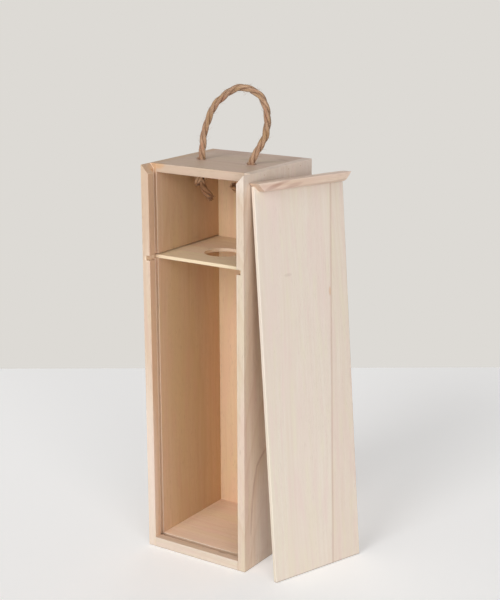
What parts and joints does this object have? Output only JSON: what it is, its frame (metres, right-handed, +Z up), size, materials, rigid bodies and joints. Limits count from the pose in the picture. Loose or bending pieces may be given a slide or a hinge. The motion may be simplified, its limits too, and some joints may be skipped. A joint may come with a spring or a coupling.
{
  "type": "wooden wine box",
  "caption": "Tall open-fronted wooden box with a slotted neck divider, a rope handle on top and a grooved sliding lid that stands beside it.",
  "frame": {"origin": "middle of the case's underside", "axes": "+Z up along the case, -Y out of its open front, +X towards the side that the lid leans on"},
  "size_m": [0.1701, 0.109, 0.4173],
  "materials": {
    "side_boards": "raw planed pale timber",
    "top_board": "raw planed pale timber",
    "bottom_board": "raw planed pale timber",
    "back_panel": "raw planed pale timber",
    "divider": "raw planed pale timber",
    "lid_panel": "raw planed pale timber",
    "head_strip": "raw planed pale timber",
    "rope": "twisted jute, hairy",
    "pins": "plain bright wire"
  },
  "bodies": {
    "case": {"left_side_board": "side_boards", "right_side_front_stave": "side_boards", "right_side_rear_stave": "side_boards", "top_front_stave": "top_board", "top_rear_stave": "top_board", "bottom_board": "bottom_board", "back_panel": "back_panel", "corner_pins": "pins", "back_pins": "pins", "left_rope_end": "rope", "right_rope_end": "rope"},
    "handle": {"handle_rope": "rope"},
    "divider": {"divider_front_stave": "divider", "divider_rear_stave": "divider"},
    "lid": {"lid_wide_stave": "lid_panel", "lid_narrow_stave": "lid_panel", "lid_head_strip": "head_strip"}
  },
  "joints": [
    {"name": "lid_tilt", "type": "hinge", "parent": "case", "child": "lid", "pos_m": [0.0865, -0.0555, 0.00034], "axis": [0.3256, 0.9455, 0], "range_deg": [0, 93.5]},
    {"name": "divider_slide", "type": "slide", "parent": "case", "child": "divider", "axis": [0, -1, 0], "range_m": [0, 0.1]},
    {"name": "handle_swing", "type": "hinge", "parent": "case", "child": "handle", "pos_m": [0, -0.001, 0.3533], "axis": [1, 0, 0], "range_deg": [-85, 85], "stiffness_Nm_per_rad": 0.02}
  ]
}
